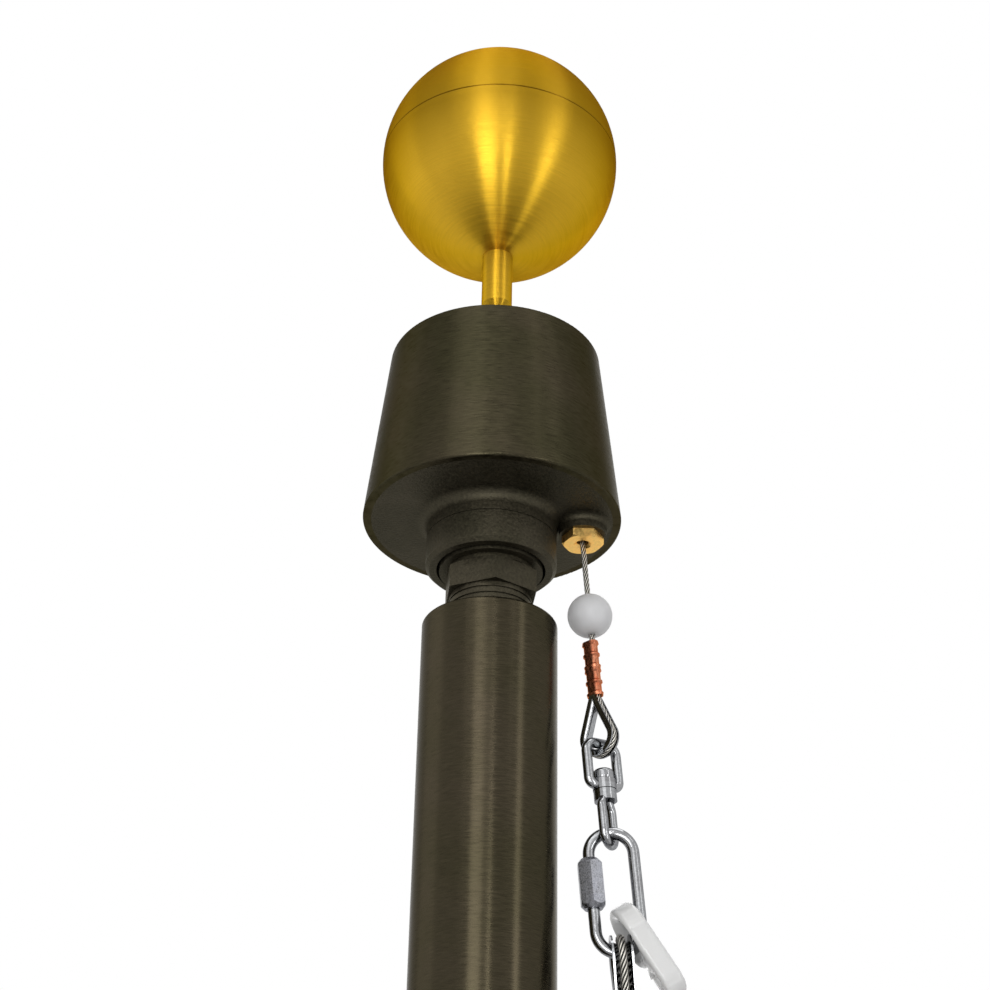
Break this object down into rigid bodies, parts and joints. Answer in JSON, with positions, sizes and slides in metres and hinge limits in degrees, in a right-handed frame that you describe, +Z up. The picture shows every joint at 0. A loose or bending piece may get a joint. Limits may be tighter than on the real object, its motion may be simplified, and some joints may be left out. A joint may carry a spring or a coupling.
{
  "type": "flagpole head: revolving truck with ball finial and wire halyard",
  "caption": "Top of a bronze flagpole with a revolving truck, a gold ball finial, and a wire halyard whose swivel, link, snap and pendant hang beside the shaft.",
  "frame": {"origin": "centre of the pole's square-cut lower end", "axes": "+Z up the pole's axis; +X towards the side where the halyard leaves the truck"},
  "size_m": [0.1794, 0.1524, 0.8657],
  "materials": {
    "pole_bronze": "dark bronze anodised, satin",
    "truck_bronze": "dark bronze anodised, turned",
    "cast_bronze": "cast, dark anodised",
    "gold": "gold anodised, satin",
    "brass": "turned brass, slightly dull",
    "bearing_bronze": "plain turned",
    "wire_rope": "bare drawn wire",
    "steel": "polished",
    "copper": "crimped, lightly tarnished",
    "nylon": "moulded white, glossy",
    "grey_nylon": "translucent, matt"
  },
  "bodies": {
    "pole": {"pole_shaft": "pole_bronze", "top_plug": "cast_bronze", "spindle_neck": "cast_bronze", "spindle_hex": "cast_bronze", "spindle_collar": "cast_bronze", "spindle_tube": "steel", "retaining_nut": "steel"},
    "truck": {"truck_housing": "truck_bronze", "truck_base": "cast_bronze", "bearing_cap": "cast_bronze", "lower_bush": "bearing_bronze", "upper_bush": "bearing_bronze", "cable_bushing": "brass", "stem_seat": "gold", "stem_nut": "gold", "finial_stem": "gold", "ball_lower": "gold", "ball_upper": "gold"},
    "halyard": {"halyard_cable": "wire_rope", "halyard_bead": "grey_nylon", "halyard_sleeve_upper": "copper", "halyard_sleeve_lower": "copper", "halyard_thimble": "steel"},
    "swivel_bow": {"swivel_bow": "steel"},
    "swivel_eye": {"swivel_pin": "steel", "swivel_eye": "steel"},
    "quick_link": {"quick_link": "steel"},
    "quick_link_nut": {"quick_link_nut": "steel"},
    "flag_snap": {"flag_snap": "nylon"},
    "pendant": {"pendant_cable": "wire_rope", "pendant_thimble_upper": "steel", "pendant_thimble_lower": "steel", "pendant_sleeve_upper": "copper", "pendant_sleeve_lower": "copper"}
  },
  "joints": [
    {"name": "truck_spin", "type": "hinge", "parent": "pole", "child": "truck", "pos_m": [0, 0, 0.5175], "axis": [0, 0, 1], "continuous": true},
    {"name": "halyard_run", "type": "slide", "parent": "truck", "child": "halyard", "axis": [0.0802, 0, -0.9968], "range_m": [-0.028, 0.04]},
    {"name": "bow_swing", "type": "hinge", "parent": "halyard", "child": "swivel_bow", "pos_m": [0.06132, 0.00106, 0.38078], "axis": [-0.8453, -0.5299, -0.068], "range_deg": [-12, 45]},
    {"name": "swivel_spin", "type": "hinge", "parent": "swivel_bow", "child": "swivel_eye", "pos_m": [0.06353, 0.00106, 0.35332], "axis": [-0.0802, 0, 0.9968], "continuous": true},
    {"name": "link_swing", "type": "hinge", "parent": "swivel_eye", "child": "quick_link", "pos_m": [0.06542, 0.00106, 0.32975], "axis": [0.9968, 0, 0.0802], "range_deg": [-45, 45]},
    {"name": "nut_screw", "type": "slide", "parent": "quick_link", "child": "quick_link_nut", "axis": [0.0802, 0, -0.9968], "range_m": [0, 0.0115]},
    {"name": "snap_swing", "type": "hinge", "parent": "quick_link", "child": "flag_snap", "pos_m": [0.07912, 0.00106, 0.27316], "axis": [0.8425, 0, 0.5388], "range_deg": [-30, 30]},
    {"name": "pendant_swing", "type": "hinge", "parent": "quick_link", "child": "pendant", "pos_m": [0.07065, 0.00106, 0.26476], "axis": [0.9968, 0, 0.0802], "range_deg": [-45, 45]}
  ]
}
